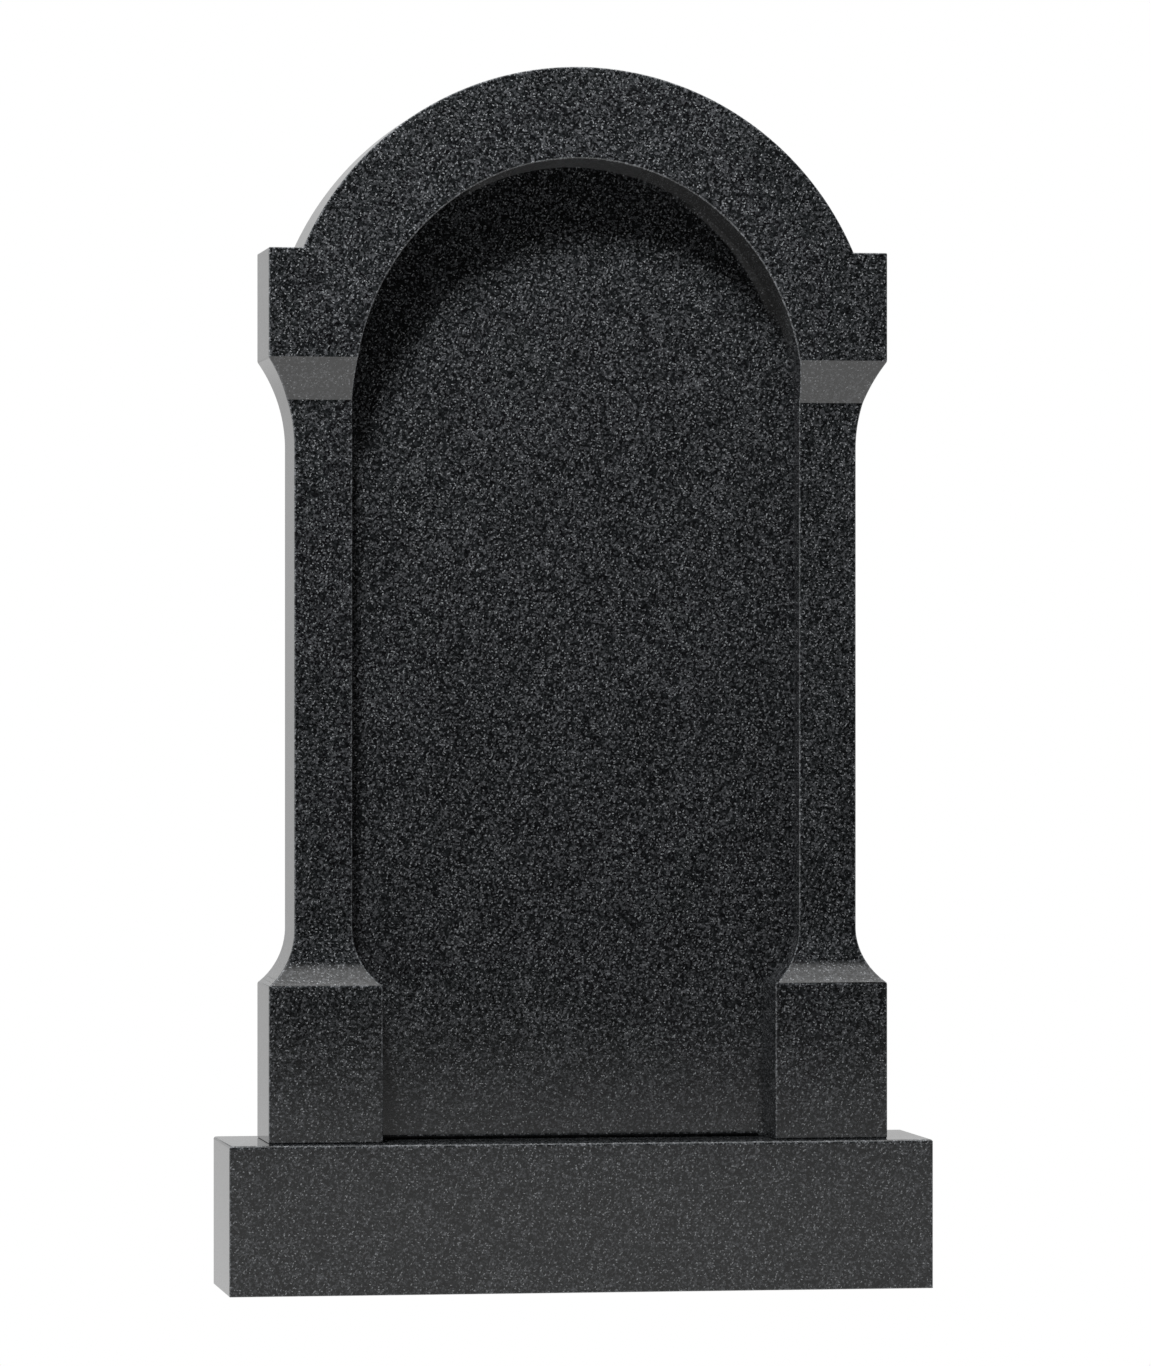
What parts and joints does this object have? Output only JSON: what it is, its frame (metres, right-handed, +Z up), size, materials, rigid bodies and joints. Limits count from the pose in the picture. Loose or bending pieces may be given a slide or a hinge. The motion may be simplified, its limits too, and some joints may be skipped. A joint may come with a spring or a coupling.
{
  "type": "headstone",
  "caption": "Upright carved stone slab with base blocks, slim shafts, cap blocks and a round arch around a sunk panel, standing on a plain rectangular plinth.",
  "frame": {"origin": "centre of the plinth's underside", "axes": "+Z up, +Y from the carved front to the plain back, X along the face"},
  "size_m": [0.712, 0.16, 1.2284],
  "materials": {
    "stele_granite": "polished dark granite, honed at the back",
    "plinth_granite": "polished dark granite, honed at the back"
  },
  "bodies": {
    "root": {"stele": "stele_granite", "plinth": "plinth_granite"}
  },
  "joints": []
}
